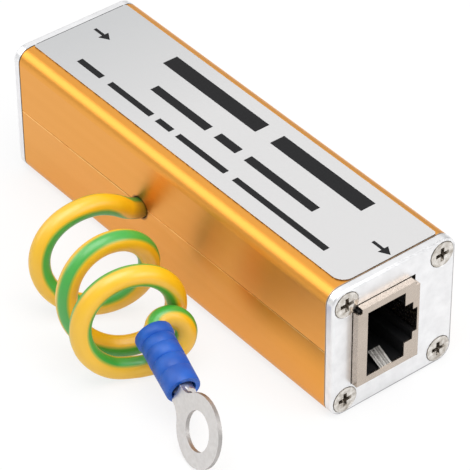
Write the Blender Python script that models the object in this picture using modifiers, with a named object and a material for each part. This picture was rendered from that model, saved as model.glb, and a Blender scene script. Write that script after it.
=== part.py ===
"""Ethernet surge protector.

A split aluminium extrusion, closed by a screwed plate at each end, holds an upright circuit board
with a shielded eight-way socket at each end and the surge parts between them. A green and yellow
earth lead leaves the side at the seam, turns three times and ends in a ring terminal.

X runs along the body towards the outgoing socket, the lead leaves on the -Y side, Z is up, and the
origin is on the table under the middle of the body. Sizes are in millimetres.
"""

import math

import bmesh
import bpy
from mathutils import Matrix, Vector

MM = 0.001

# Extruded body, sized round the sockets and their board
WALL = 1.5
ROOM_ABOVE_JACK = 2.55
ROOM_BELOW_JACK = 3.95
ROOM_BESIDE_JACK = 2.55
ROOM_BEHIND_BOARD = 5.05
ROOM_BETWEEN_JACKS = 44.0
CORNER_RADIUS = 2.5
SEAM_HEIGHT = 12.9
SEAM_GAP = 0.1
LIP_THICKNESS = 0.7
LAP_HEIGHT = 0.8
LAP_CLEARANCE = 0.1

# End plates and their screws
PLATE_THICKNESS = 1.5
PLATE_GAP = 0.12
PLATE_EDGE = 0.4
SCREW_INSET = 2.8
SCREW_HEAD_RADIUS = 2.4
SCREW_HEAD_DEPTH = 1.1
SCREW_HEAD_PROUD = 0.1
SCREW_RADIUS = 1.3
SCREW_LENGTH = 8.0
SCREW_CLEARANCE = 0.15
CHANNEL_WALL = 0.85
CHANNEL_MOUTH = 2.2
RECESS_LENGTH = 2.6
RECESS_WIDTH = 0.7
RECESS_DEPTH = 0.9
RECESS_TAPER = 0.45

# Label on the upper half
LABEL_WIDTH = 19.4
LABEL_OFFSET = 0.3
LABEL_THICKNESS = 0.2
LABEL_CORNER = 0.6
LABEL_CLIPPED_CORNER = 2.2
LABEL_END_GAP = 0.1
LABEL_SEAT = 0.02

# Circuit board, upright in the rails of both halves
BOARD_THICKNESS = 1.6
BOARD_CLEARANCE = 0.15
BOARD_END_GAP = 0.3
RAIL_WIDTH = 0.9
RAIL_HEIGHT = 1.2

# Shielded socket, on its side with the latch towards the board
JACK_WIDTH = 15.5
JACK_HEIGHT = 12.6
JACK_DEPTH = 21.3
JACK_PROUD = 1.3
JACK_SEAT = 0.2
JACK_WINDOW_GAP = 0.12
SHIELD_THICKNESS = 0.35
SHIELD_FOLD = 8.0
RELIEF_SIZE = 0.85
MOUTH_WIDTH = 12.95
MOUTH_HEIGHT = 7.65
LATCH_WIDTH = 7.6
LATCH_HEIGHT = 1.65
KEY_WIDTH = 4.7
KEY_HEIGHT = 0.9
KEY_SETBACK = 0.4
CAVITY_DEPTH = 12.0
INSERT_GAP = 0.1
TAB_WIDTH = 2.4
TAB_OFFSET = 2.8
TAB_REACH = 3.0
TAB_RISE = 1.2
LEG_WIDTH = 1.5
LEG_SETBACK = 9.5
LEG_LENGTH = 2.6
LEG_CLEARANCE = 0.12
PEG_RADIUS = 1.5
PEG_SPACING = 11.4
PEG_SETBACK = 12.0
PEG_CLEARANCE = 0.15

# Spring contacts of a socket
CONTACT_COUNT = 8
CONTACT_PITCH = 1.02
CONTACT_RADIUS = 0.2
CONTACT_SETBACK = 3.9
CONTACT_REACH = 6.0
CONTACT_RISE = 2.0
CONTACT_TRACK = 0.55
CONTACT_BAY = 0.9
PIN_STAGGER = 2.54
PIN_LENGTH = 0.9
PIN_HOLE = 0.35

# Surge parts on the board
GAS_TUBE_RADIUS = 3.0
GAS_TUBE_LENGTH = 8.0
GAS_TUBE_FLANGE = 0.3
GAS_TUBE_RIM = 0.8
GAS_TUBE_ROW_GAP = 3.2
DIODE_COUNT = 4
DIODE_PITCH = 4.6
DIODE_LENGTH = 5.0
DIODE_WIDTH = 3.4
DIODE_HEIGHT = 2.2
DIODE_FOOT = 0.9
DIODE_STRIP = 0.25
PART_SEAT = 0.3
PART_SPACING = 0.9

# Earth lead
LEAD_RADIUS = 1.8
LEAD_HOLE_GAP = 0.15
LEAD_EXIT = -7.1
LEAD_BELOW_SEAM = 0.6
LEAD_INNER_END = 2.0
CONDUCTOR_RADIUS = 0.85
CONDUCTOR_GAP = 0.3
TABLE_GAP = 0.05

# First bend of the lead, from its hole up to the coil
FIRST_POINTS = ((-7.3, -15.0, 13.3), (-7.5, -17.1, 14.8))

# Turns of the lead: sizes at even steps along the coil
COIL_TURNS = 2.66
COIL_START = (-10.3, -21.0)
COIL_HEADING = -19.3
COIL_PHASE = -55.5
COIL_HALF_WIDTH = (8.3, 8.4, 8.5, 8.2, 8.0, 8.2)
COIL_HALF_HEIGHT = (6.8, 8.3, 8.7, 8.4, 8.3, 9.4)
COIL_ADVANCE = (0.0, 7.6, 14.5, 20.4, 23.6, 26.2)
COIL_SIDESTEP = (-0.5, 1.8, 1.6, 0.1, 0.3, 1.0)
POINTS_PER_TURN = 16

# Last bend of the lead, from the coil up and over into the terminal
HOOK_POINTS = (
    (16.2, -26.6, 2.4),
    (17.4, -22.8, 5.0),
    (17.4, -22.0, 7.8),
    (16.7, -22.9, 9.8),
    (16.0, -24.6, 10.6),
    (16.0, -26.6, 10.4),
)

# Ring terminal, leaning on the rim of its ring
RING_PLACE = (36.05, -33.95)
TERMINAL_HEADING = -13.1
TERMINAL_SLOPE = 12.1
TERMINAL_ROLL = 72.0
RING_RADIUS = 6.0
RING_HOLE_RADIUS = 3.3
STRIP_THICKNESS = 0.7
NECK_HALF_WIDTH = 1.8
NECK_FILLET = 3.0
NECK_END = 8.0
BARREL_RADIUS = 1.65
BARREL_START = 7.2
BARREL_END = 14.6
BARREL_SEAM = 0.4
SLEEVE_START = 8.3
SLEEVE_END = 20.1
SLEEVE_RADIUS = 2.8
SLEEVE_RIM_RADIUS = 3.05
SLEEVE_RIM_LENGTH = 1.4
SLEEVE_CREASE_DEPTH = 0.15
SLEEVE_CREASE_WIDTH = 0.8
SLEEVE_CRIMP_PLACE = 14.2
SLEEVE_CRIMP_DEPTH = 0.15
SLEEVE_GAP = 0.2
LEAD_SEAT = 0.6

# Values that follow from the sizes above
BODY_LENGTH = 2 * (JACK_DEPTH - JACK_PROUD) + ROOM_BETWEEN_JACKS
BODY_WIDTH = 2 * WALL + ROOM_BESIDE_JACK + JACK_HEIGHT + JACK_SEAT + BOARD_THICKNESS + ROOM_BEHIND_BOARD
BODY_HEIGHT = 2 * WALL + ROOM_BELOW_JACK + JACK_WIDTH + ROOM_ABOVE_JACK
HALF_LENGTH = BODY_LENGTH / 2
HALF_WIDTH = BODY_WIDTH / 2
JACK_CENTRE_HEIGHT = WALL + ROOM_BELOW_JACK + JACK_WIDTH / 2
BOARD_FACE = HALF_WIDTH - WALL - ROOM_BEHIND_BOARD - BOARD_THICKNESS
PLATE_INNER = HALF_LENGTH - PLATE_THICKNESS
EXTRUSION_LENGTH = 2 * (PLATE_INNER - PLATE_GAP)
SCREW_HOLE_RADIUS = SCREW_RADIUS + SCREW_CLEARANCE
SCREW_Y = HALF_WIDTH - SCREW_INSET
BOARD_BACK = BOARD_FACE + BOARD_THICKNESS
BOARD_HALF_LENGTH = PLATE_INNER - BOARD_END_GAP
JACK_TOP = BOARD_FACE - JACK_SEAT
JACK_BOTTOM = JACK_TOP - JACK_HEIGHT
JACK_FRONT = HALF_LENGTH + JACK_PROUD
JACK_BACK = JACK_FRONT - JACK_DEPTH
KEY_TOP = JACK_TOP - KEY_SETBACK
LATCH_TOP = KEY_TOP - KEY_HEIGHT
MOUTH_TOP = LATCH_TOP - LATCH_HEIGHT
MOUTH_BOTTOM = MOUTH_TOP - MOUTH_HEIGHT
CONTACT_LINE = MOUTH_BOTTOM - CONTACT_TRACK
CONTACT_DROP = JACK_BACK + SHIELD_THICKNESS + CONTACT_BAY / 2 + 0.1
GAS_TUBE_COLUMNS = (JACK_BACK - PART_SPACING - GAS_TUBE_RADIUS,
                    JACK_BACK - 2 * PART_SPACING - 3 * GAS_TUBE_RADIUS)
DIODE_COLUMN = GAS_TUBE_COLUMNS[1] - GAS_TUBE_RADIUS - PART_SPACING - DIODE_LENGTH / 2
INSERT_BACK = JACK_BACK + SHIELD_THICKNESS + CONTACT_BAY + 0.2
LEAD_HEIGHT = SEAM_HEIGHT - LEAD_BELOW_SEAM
STRIP_HALF = STRIP_THICKNESS / 2
BARREL_OFFSET = BARREL_RADIUS - STRIP_HALF
LEAD_END = BARREL_END + LEAD_SEAT

COPIES = {"out": (0.0, JACK_CENTRE_HEIGHT), "in": (math.pi, BODY_HEIGHT - JACK_CENTRE_HEIGHT)}


def clear_scene():
    """Remove what an empty file starts with."""
    for old in list(bpy.data.objects):
        bpy.data.objects.remove(old)


def make_collection(name):
    """Return a new collection in the scene."""
    group = bpy.data.collections.new(name)
    bpy.context.scene.collection.children.link(group)
    return group


def make_material(name, colour, roughness, metallic=0.0):
    """Return a plain surface finish."""
    material = bpy.data.materials.new(name)
    material.use_nodes = True
    surface = material.node_tree.nodes["Principled BSDF"]
    surface.inputs["Base Color"].default_value = (*colour, 1.0)
    surface.inputs["Roughness"].default_value = roughness
    surface.inputs["Metallic"].default_value = metallic
    material.diffuse_color = (*colour, 1.0)
    return material


def make_object(name, mesh, group, material=None, location=(0, 0, 0), rotation=(0, 0, 0)):
    """Place a mesh or curve in a collection."""
    item = bpy.data.objects.new(name, mesh)
    group.objects.link(item)
    item.location = Vector(location) * MM
    item.rotation_euler = rotation
    if material and not mesh.materials:
        mesh.materials.append(material)
    return item


def make_block(name, low, high, group):
    """Return a rectangular block between two corners."""
    bm = bmesh.new()
    bmesh.ops.create_cube(bm, size=1.0)
    low = Vector(low) * MM
    high = Vector(high) * MM
    size = high - low
    bmesh.ops.scale(bm, vec=size, verts=bm.verts)
    bmesh.ops.translate(bm, vec=(low + high) / 2, verts=bm.verts)
    mesh = bpy.data.meshes.new(name)
    bm.to_mesh(mesh)
    bm.free()
    return make_object(name, mesh, group)


def make_rod(name, radius_low, radius_high, low, high, axis, group, sides=24):
    """Return a cylinder or cone between two points on a line along the given axis."""
    low = Vector(low) * MM
    high = Vector(high) * MM
    bm = bmesh.new()
    turn = {"X": Matrix.Rotation(math.pi / 2, 4, "Y"), "Y": Matrix.Rotation(-math.pi / 2, 4, "X"),
            "Z": Matrix.Identity(4)}[axis]
    bmesh.ops.create_cone(bm, cap_ends=True, segments=sides, radius1=radius_low * MM,
                          radius2=radius_high * MM, depth=(high - low).length,
                          matrix=Matrix.Translation((low + high) / 2) @ turn)
    mesh = bpy.data.meshes.new(name)
    bm.to_mesh(mesh)
    bm.free()
    return make_object(name, mesh, group)


def arc(centre, radius, start, end, steps):
    """Return points on an arc between two angles in degrees."""
    angles = [math.radians(start + (end - start) * i / steps) for i in range(steps + 1)]
    return [(centre[0] + radius * math.cos(a), centre[1] + radius * math.sin(a)) for a in angles]


def circle(centre, radius, sides):
    """Return the corners of a round hole or disc."""
    return arc(centre, radius, 0, 360, sides)[:-1]


def rectangle(low, high):
    """Return the corners of an upright rectangle."""
    return [low, (high[0], low[1]), high, (low[0], high[1])]


def rounded_rectangle(low, high, radii, steps):
    """Return a rectangle with round corners, their radii from the upper right one anticlockwise."""
    outline = []
    for number, radius in enumerate(radii):
        x = high[0] - radius if number in (0, 3) else low[0] + radius
        y = high[1] - radius if number in (0, 1) else low[1] + radius
        outline += arc((x, y), radius, 90 * number, 90 * number + 90, steps)
    return outline


def make_flat(name, outlines, thickness, group):
    """Return a mesh plate: the first outline less the others, thickened about its own plane."""
    curve = bpy.data.curves.new(name, "CURVE")
    curve.dimensions = "2D"
    curve.fill_mode = "BOTH"
    curve.extrude = thickness * MM / 2
    for outline in outlines:
        spline = curve.splines.new("POLY")
        spline.points.add(len(outline) - 1)
        spline.use_cyclic_u = True
        for point, (x, y) in zip(spline.points, outline):
            point.co = (x * MM, y * MM, 0, 1)
    return solid_from(make_object(name, curve, group), group)


def solid_from(item, group):
    """Return a welded mesh in place of a curve."""
    name = item.name
    mesh = baked(item)
    bm = bmesh.new()
    bm.from_mesh(mesh)
    bmesh.ops.remove_doubles(bm, verts=bm.verts, dist=1e-6)
    bmesh.ops.dissolve_degenerate(bm, dist=1e-6, edges=bm.edges)
    bmesh.ops.recalc_face_normals(bm, faces=bm.faces)
    bm.to_mesh(mesh)
    bm.free()
    return make_object(name, mesh, group)


def make_turned(name, profile, steps, group, closed=False):
    """Return a shape turned about Z; the profile runs down its outer side."""
    mesh = bpy.data.meshes.new(name)
    count = len(profile)
    edges = [(i, (i + 1) % count) for i in range(count if closed else count - 1)]
    mesh.from_pydata([(r * MM, 0, z * MM) for r, z in profile], edges, [])
    item = make_object(name, mesh, group)
    screw = item.modifiers.new("turn", "SCREW")
    screw.steps = steps
    screw.render_steps = steps
    screw.use_merge_vertices = True
    screw.merge_threshold = 1e-6
    return item


def combine(item, other, operation):
    """Cut another shape from an object, or join it on."""
    boolean = item.modifiers.new(operation.lower(), "BOOLEAN")
    boolean.operation = operation
    boolean.object = other
    other.hide_render = True
    other.display_type = "WIRE"


def baked(item, *helpers):
    """Return the mesh that an object's modifiers leave, and remove the object and its helpers."""
    bpy.context.view_layer.update()
    evaluated = item.evaluated_get(bpy.context.evaluated_depsgraph_get())
    mesh = bpy.data.meshes.new_from_object(evaluated)
    for used in (item, *helpers):
        bpy.data.objects.remove(used)
    return mesh


def shade(item, angle=35):
    """Shade round faces smooth and keep the edges sharp."""
    item.data.shade_smooth()
    item.data.set_sharp_from_angle(angle=math.radians(angle))


def channel_points(side):
    """Return the inner outline of one screw channel, from the side wall to the floor."""
    centre = (SCREW_Y, SCREW_INSET)
    outer = SCREW_HOLE_RADIUS + CHANNEL_WALL
    meet = math.degrees(math.asin((SCREW_INSET - WALL) / outer))
    mouth_outer = math.degrees(math.asin(CHANNEL_MOUTH / 2 / outer))
    mouth_inner = math.degrees(math.asin(CHANNEL_MOUTH / 2 / SCREW_HOLE_RADIUS))
    points = arc(centre, outer, 90 - meet, 135 - mouth_outer, 3)
    points += arc(centre, SCREW_HOLE_RADIUS, 135 - mouth_inner, 135 + mouth_inner - 360, 12)
    points += arc(centre, outer, 135 + mouth_outer, 180 + meet, 3)
    return [(side * y, v) for y, v in points]


def half_profile(height, tongue):
    """Return the section of one half, with its flat face at v = 0 and its rim at v = height."""
    inner = HALF_WIDTH - WALL
    groove = (BOARD_FACE - BOARD_CLEARANCE, BOARD_BACK + BOARD_CLEARANCE)
    outer = [(-HALF_WIDTH, height)]
    outer += arc((-HALF_WIDTH + CORNER_RADIUS, CORNER_RADIUS), CORNER_RADIUS, 180, 270, 6)
    outer += arc((HALF_WIDTH - CORNER_RADIUS, CORNER_RADIUS), CORNER_RADIUS, 270, 360, 6)
    outer += [(HALF_WIDTH, height)]
    if tongue:
        lip = HALF_WIDTH - LIP_THICKNESS - LAP_CLEARANCE
        step = [(lip, height), (lip, height + LAP_HEIGHT), (inner, height + LAP_HEIGHT)]
    else:
        lip = HALF_WIDTH - LIP_THICKNESS
        depth = LAP_HEIGHT + LAP_CLEARANCE
        step = [(lip, height), (lip, height - depth), (inner, height - depth)]
    rails = []
    for low, high in ((groove[1], groove[1] + RAIL_WIDTH), (groove[0] - RAIL_WIDTH, groove[0])):
        rails += [(high, WALL), (high, WALL + RAIL_HEIGHT), (low, WALL + RAIL_HEIGHT), (low, WALL)]
    right = step + channel_points(1)
    left = [(-y, v) for y, v in reversed(step)]
    return outer + right + rails + channel_points(-1)[::-1] + left


def make_housing(group, cutters, material):
    """Two halves of the extrusion, lapped at the seam, with the lead's hole across it."""
    across = (math.pi / 2, 0, math.pi / 2)
    hole_radius = LEAD_RADIUS + LEAD_HOLE_GAP
    hole = make_rod("lead_hole", hole_radius, hole_radius, (LEAD_EXIT, -HALF_WIDTH - 2, LEAD_HEIGHT),
                    (LEAD_EXIT, -HALF_WIDTH + WALL + 2, LEAD_HEIGHT), "Y", cutters)
    lower = make_flat("housing_lower", [half_profile(SEAM_HEIGHT, True)], EXTRUSION_LENGTH, group)
    lower.rotation_euler = across
    upper_height = BODY_HEIGHT - SEAM_HEIGHT - SEAM_GAP
    flipped = [(y, BODY_HEIGHT - v) for y, v in half_profile(upper_height, False)]
    upper = make_flat("housing_upper", [flipped], EXTRUSION_LENGTH, group)
    upper.rotation_euler = across
    for half in (lower, upper):
        combine(half, hole, "DIFFERENCE")
        half.data.materials.append(material)
        shade(half)


def jack_mouth(grow):
    """Return the stepped outline of the plug opening, latch side up, in y and z."""
    half = MOUTH_WIDTH / 2 + grow
    latch = LATCH_WIDTH / 2 + grow
    key = KEY_WIDTH / 2 + grow
    low, shelf, latch_top, key_top = (MOUTH_BOTTOM - grow, MOUTH_TOP + grow, LATCH_TOP + grow, KEY_TOP)
    side = [(low, half), (shelf, half), (shelf, latch), (latch_top, latch), (latch_top, key), (key_top, key)]
    return side + [(y, -z) for y, z in reversed(side)]


def make_end_plate(name, group, material, turn):
    """A flat plate with the socket's window and four countersunk holes."""
    middle = BODY_HEIGHT / 2
    bm = bmesh.new()
    bmesh.ops.create_cube(bm, size=1.0)
    bmesh.ops.scale(bm, vec=Vector((PLATE_THICKNESS, BODY_WIDTH, BODY_HEIGHT)) * MM, verts=bm.verts)
    corners = [e for e in bm.edges if abs(e.verts[0].co.x - e.verts[1].co.x) > MM / 10]
    bmesh.ops.bevel(bm, geom=corners, offset=CORNER_RADIUS * MM, segments=6, profile=0.5,
                    affect="EDGES", material=-1)
    front = PLATE_THICKNESS * MM / 2
    rim = [e for e in bm.edges if all(abs(v.co.x - front) < 1e-7 for v in e.verts)]
    bmesh.ops.bevel(bm, geom=rim, offset=PLATE_EDGE * MM, segments=2, profile=0.5,
                    affect="EDGES", material=-1)
    centre = Vector((PLATE_INNER + PLATE_THICKNESS / 2, 0, 0)) * MM
    bmesh.ops.translate(bm, vec=centre, verts=bm.verts)
    mesh = bpy.data.meshes.new(name)
    bm.to_mesh(mesh)
    bm.free()
    plate = make_object(name + "_blank", mesh, group)
    low = (PLATE_INNER - 1, JACK_BOTTOM - JACK_WINDOW_GAP)
    high = (HALF_LENGTH + 1, JACK_TOP + JACK_WINDOW_GAP)
    reach = JACK_WIDTH / 2 + JACK_WINDOW_GAP
    lift = JACK_CENTRE_HEIGHT - middle
    helpers = [make_block("window", (*low, lift - reach), (*high, lift + reach), group)]
    offset = middle - SCREW_INSET
    head = SCREW_HEAD_RADIUS + SCREW_CLEARANCE - SCREW_HEAD_PROUD
    for y in (-SCREW_Y, SCREW_Y):
        for z in (-offset, offset):
            helpers.append(make_rod("hole", SCREW_HOLE_RADIUS, SCREW_HOLE_RADIUS, (PLATE_INNER - 1, y, z),
                                    (HALF_LENGTH + 1, y, z), "X", group, 16))
            sink = SCREW_HEAD_DEPTH - SCREW_HEAD_PROUD
            slope = (head - SCREW_HOLE_RADIUS) / sink
            helpers.append(make_rod("sink", SCREW_HOLE_RADIUS, head + slope, (HALF_LENGTH - sink, y, z),
                                    (HALF_LENGTH + 1, y, z), "X", group, 16))
    for helper in helpers:
        combine(plate, helper, "DIFFERENCE")
    item = make_object(name, baked(plate, *helpers), group, material, (0, 0, middle), (0, turn, 0))
    shade(item)


def make_screws(group, material):
    """Eight countersunk cross-recess screws, four to a plate."""
    tip = SCREW_LENGTH - SCREW_RADIUS
    profile = [(0, 0), (SCREW_HEAD_RADIUS - 0.1, 0), (SCREW_HEAD_RADIUS, -0.1),
               (SCREW_RADIUS, -SCREW_HEAD_DEPTH), (SCREW_RADIUS, -tip), (0.4, -SCREW_LENGTH),
               (0, -SCREW_LENGTH)]
    blank = make_turned("screw_blank", profile, 20, group)
    blades = []
    for long, wide in ((RECESS_LENGTH / 2, RECESS_WIDTH / 2), (RECESS_WIDTH / 2, RECESS_LENGTH / 2)):
        blade = make_flat("recess", [rectangle((-long, -wide), (long, wide))], 2 * RECESS_DEPTH, group)
        for vertex in blade.data.vertices:
            vertex.co.xy *= RECESS_TAPER if vertex.co.z < 0 else 2 - RECESS_TAPER
        combine(blank, blade, "DIFFERENCE")
        blades.append(blade)
    mesh = baked(blank, *blades)
    middle = BODY_HEIGHT / 2
    lift = middle - SCREW_INSET
    for end, (turn, _) in COPIES.items():
        sign = 1 if turn == 0 else -1
        places = ((-SCREW_Y, lift), (SCREW_Y, lift), (SCREW_Y, -lift), (-SCREW_Y, -lift))
        for number, (y, z) in enumerate(places, 1):
            place = (sign * (HALF_LENGTH + SCREW_HEAD_PROUD), y, middle + z)
            screw = make_object(f"end_screw_{end}_{number}", mesh, group, material, place,
                                (0, sign * math.pi / 2, 0))
            shade(screw)


def make_label(group, material):
    """A thin printed plate on the flat top."""
    reach = EXTRUSION_LENGTH / 2 - LABEL_END_GAP
    radii = (LABEL_CORNER, LABEL_CORNER, LABEL_CORNER, LABEL_CLIPPED_CORNER)
    outline = rounded_rectangle((-reach, LABEL_OFFSET - LABEL_WIDTH / 2),
                                (reach, LABEL_OFFSET + LABEL_WIDTH / 2), radii, 6)
    label = make_flat("top_label", [outline], LABEL_THICKNESS, group)
    label.location.z = (BODY_HEIGHT + LABEL_SEAT + LABEL_THICKNESS / 2) * MM
    label.data.materials.append(material)


def contact_heights():
    """Return the heights of a socket's contacts about its centre."""
    return [(i - (CONTACT_COUNT - 1) / 2) * CONTACT_PITCH for i in range(CONTACT_COUNT)]


def pin_place(number):
    """Return how far along the board a contact's pin goes through it."""
    return CONTACT_DROP + PIN_STAGGER * (number % 2)


def make_board(group, material):
    """The upright board, with holes for the pins, legs and pegs of both sockets and the earth lead."""
    low, high = WALL + BOARD_CLEARANCE, BODY_HEIGHT - WALL - BOARD_CLEARANCE
    outlines = [rectangle((-BOARD_HALF_LENGTH, low), (BOARD_HALF_LENGTH, high))]
    leg_z = (JACK_WIDTH - SHIELD_THICKNESS) / 2
    leg_x = JACK_FRONT - LEG_SETBACK
    wide = LEG_WIDTH / 2 + LEG_CLEARANCE
    thick = SHIELD_THICKNESS / 2 + LEG_CLEARANCE
    for turn, height in COPIES.values():
        sign = 1 if turn == 0 else -1
        for number, z in enumerate(contact_heights()):
            place = (sign * pin_place(number), height + sign * z)
            outlines.append(circle(place, PIN_HOLE, 8))
        for side in (1, -1):
            x, z = sign * leg_x, height + side * leg_z
            outlines.append(rectangle((x - wide, z - thick), (x + wide, z + thick)))
            peg = (sign * (JACK_FRONT - PEG_SETBACK), height + side * PEG_SPACING / 2)
            outlines.append(circle(peg, PEG_RADIUS + PEG_CLEARANCE, 14))
    outlines.append(circle((LEAD_EXIT, LEAD_HEIGHT), CONDUCTOR_RADIUS + PEG_CLEARANCE, 12))
    board = make_flat("circuit_board", outlines, BOARD_THICKNESS, group)
    board.location.y = (BOARD_FACE + BOARD_THICKNESS / 2) * MM
    board.rotation_euler = (math.pi / 2, 0, 0)
    board.data.materials.append(material)


def make_shield(group):
    """The stamped shell of a socket: a folded box with the plug opening, legs and a spring tab."""
    half = JACK_WIDTH / 2
    wall = SHIELD_THICKNESS
    shell = make_block("shield_blank", (JACK_BACK, JACK_BOTTOM, -half), (JACK_FRONT, JACK_TOP, half), group)
    hollow = make_block("hollow", (JACK_BACK + wall, JACK_BOTTOM + wall, -half + wall),
                        (JACK_FRONT - wall, JACK_TOP - wall, half - wall), group)
    under = make_block("under", (JACK_BACK - 1, JACK_TOP - 2 * wall, -half + wall),
                       (JACK_FRONT - SHIELD_FOLD, JACK_TOP + 1, half - wall), group)
    mouth = make_flat("mouth", [jack_mouth(0)], 4 * wall, group)
    mouth.rotation_euler = (math.pi / 2, 0, math.pi / 2)
    mouth.location.x = JACK_FRONT * MM
    cuts = [hollow, under, mouth]
    depth = JACK_PROUD + PLATE_THICKNESS + wall
    for y in (JACK_BOTTOM, JACK_TOP):
        cuts.append(make_block("relief", (JACK_FRONT - depth, y - RELIEF_SIZE, half - RELIEF_SIZE),
                               (JACK_FRONT + 1, y + RELIEF_SIZE, half + 1), group))
    for cut in cuts:
        combine(shell, cut, "DIFFERENCE")
    joins = []
    leg_x = JACK_FRONT - LEG_SETBACK
    for side in (1, -1):
        edges = sorted((side * half, side * (half - wall)))
        joins.append(make_block("leg", (leg_x - LEG_WIDTH / 2, JACK_TOP - 1, edges[0]),
                                (leg_x + LEG_WIDTH / 2, JACK_TOP + LEG_LENGTH, edges[1]), group))
    joins.append(make_tab(group))
    for join in joins:
        combine(shell, join, "UNION")
    return baked(shell, *cuts, *joins)


def make_tab(group):
    """The earthing spring, bent inwards from the lower edge of the opening."""
    edge = -MOUTH_WIDTH / 2
    wall = SHIELD_THICKNESS
    front = JACK_FRONT - 0.05
    tip = front - TAB_REACH
    outline = [(front, edge - 0.2), (front, edge + 0.1), (tip, edge + TAB_RISE + wall),
               (tip, edge + TAB_RISE), (front - wall, edge), (front - wall / 2, edge - 0.2)]
    tab = make_flat("tab", [outline], TAB_WIDTH, group)
    tab.rotation_euler = (math.pi / 2, 0, 0)
    tab.location.y = (MOUTH_BOTTOM + TAB_OFFSET + TAB_WIDTH / 2) * MM
    return tab


def make_insert(group):
    """The moulded body inside a shield, with the plug cavity, the contact track and two pegs."""
    margin = SHIELD_THICKNESS + INSERT_GAP
    half = JACK_WIDTH / 2 - margin
    front = JACK_FRONT - margin
    top = JACK_TOP - margin
    body = make_block("insert_blank", (INSERT_BACK, JACK_BOTTOM + margin, -half), (front, top, half), group)
    cavity = make_flat("cavity", [jack_mouth(INSERT_GAP)], 2 * CAVITY_DEPTH, group)
    cavity.rotation_euler = (math.pi / 2, 0, math.pi / 2)
    cavity.location.x = front * MM
    span = CONTACT_COUNT * CONTACT_PITCH / 2
    depth = CONTACT_LINE - CONTACT_RADIUS - INSERT_GAP
    track = make_block("track", (INSERT_BACK - 1, depth, -span),
                       (JACK_FRONT - CONTACT_SETBACK + 3 * CONTACT_RADIUS, MOUTH_BOTTOM + 1, span), group)
    bay = make_block("pin_bay", (INSERT_BACK - 1, top - 2.5, -span),
                     (CONTACT_DROP + PIN_STAGGER + 1, top + 1, span), group)
    cuts = [cavity, track, bay]
    for cut in cuts:
        combine(body, cut, "DIFFERENCE")
    pegs = []
    for side in (1, -1):
        place = (JACK_FRONT - PEG_SETBACK, side * PEG_SPACING / 2)
        pegs.append(make_rod("peg", PEG_RADIUS, PEG_RADIUS - 0.2, (place[0], top - 1, place[1]),
                             (place[0], BOARD_FACE + 0.8 * BOARD_THICKNESS, place[1]), "Y", group, 12))
    for peg in pegs:
        combine(body, peg, "UNION")
    return baked(body, *cuts, *pegs)


def contact_path(number):
    """Return one spring contact's route in x and y, from its free end to its pin."""
    front = JACK_FRONT - CONTACT_SETBACK
    line = CONTACT_LINE
    path = [(front - CONTACT_REACH, line + CONTACT_RISE), (front - 0.7, line + 0.75),
            (front, line + 0.4), (front - 0.5, line), (CONTACT_DROP + 0.5, line),
            (CONTACT_DROP, line + 0.5), (CONTACT_DROP, JACK_TOP - 2.2)]
    if number % 2:
        path.append((pin_place(number), JACK_TOP - 1.4))
    path.append((pin_place(number), BOARD_BACK + PIN_LENGTH))
    return path


def make_wire(name, points, radius, group, resolution):
    """Return a round wire along a list of points."""
    curve = bpy.data.curves.new(name, "CURVE")
    curve.dimensions = "3D"
    curve.bevel_depth = radius * MM
    curve.bevel_resolution = resolution
    curve.use_fill_caps = True
    spline = curve.splines.new("POLY")
    spline.points.add(len(points) - 1)
    for point, place in zip(spline.points, points):
        point.co = (*(Vector(place) * MM), 1)
    return make_object(name, curve, group)


def make_jacks(group, steel, plastic, gold):
    """A shielded socket at each end, the second turned half round about the board's normal."""
    shield = make_shield(group)
    insert = make_insert(group)
    for end, (turn, height) in COPIES.items():
        place, rotation = (0, 0, height), (0, turn, 0)
        make_object(f"jack_shield_{end}", shield, group, steel, place, rotation)
        make_object(f"jack_insert_{end}", insert, group, plastic, place, rotation)
        for number, z in enumerate(contact_heights()):
            path = [(x, y, z) for x, y in contact_path(number)]
            contact = make_wire(f"jack_contact_{end}_{number + 1}", path, CONTACT_RADIUS, group, 0)
            contact.location.z = height * MM
            contact.rotation_euler = rotation
            contact.data.materials.append(gold)


def make_gas_tubes(group, material):
    """Four gas discharge tubes in two columns on the board."""
    half, rim = GAS_TUBE_LENGTH / 2, GAS_TUBE_RIM
    outer, waist = GAS_TUBE_RADIUS, GAS_TUBE_RADIUS - GAS_TUBE_FLANGE
    profile = [(0, half), (outer, half), (outer, half - rim), (waist, half - rim), (waist, rim / 2),
               (outer, rim / 2)]
    profile += [(r, -z) for r, z in reversed(profile)]
    mesh = baked(make_turned("gas_tube_blank", profile, 14, group))
    centre = BOARD_FACE - PART_SEAT - GAS_TUBE_RADIUS
    number = 0
    for x in GAS_TUBE_COLUMNS:
        for side in (-1, 1):
            number += 1
            rise = side * (GAS_TUBE_LENGTH + GAS_TUBE_ROW_GAP) / 2
            place = (x, centre, BODY_HEIGHT / 2 + rise)
            shade(make_object(f"gas_tube_{number}", mesh, group, material, place))


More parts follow.
